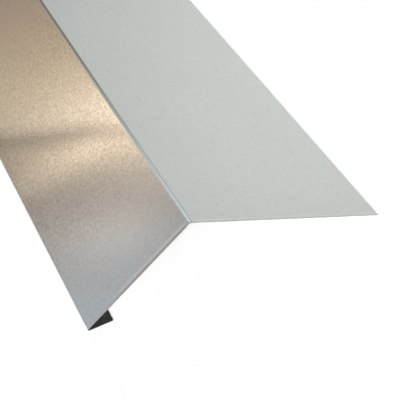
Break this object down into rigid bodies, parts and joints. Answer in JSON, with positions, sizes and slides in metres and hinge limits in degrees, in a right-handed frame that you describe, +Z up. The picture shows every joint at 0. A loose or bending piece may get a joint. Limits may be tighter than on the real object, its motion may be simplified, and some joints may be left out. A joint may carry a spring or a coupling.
{
  "type": "eaves flashing",
  "caption": "Folded galvanised steel eaves flashing: a wide roof flange, a sloping front flange and a short drip return folded back under its lower edge.",
  "frame": {"origin": "on the floor, under the middle of the part's box, with the part standing as a low tent on its drip fold and on the free edge of its roof flange", "axes": "+X across the strip, from the drip fold to the free edge of the roof flange; +Y along its length; +Z up"},
  "size_m": [0.2034, 2, 0.0612],
  "materials": {
    "galvanised_sheet": "satin hot-dip zinc on sheet steel, fine grained, with bare grey shear-cut edges"
  },
  "bodies": {
    "root": {"eaves_flashing": "galvanised_sheet"}
  },
  "joints": []
}
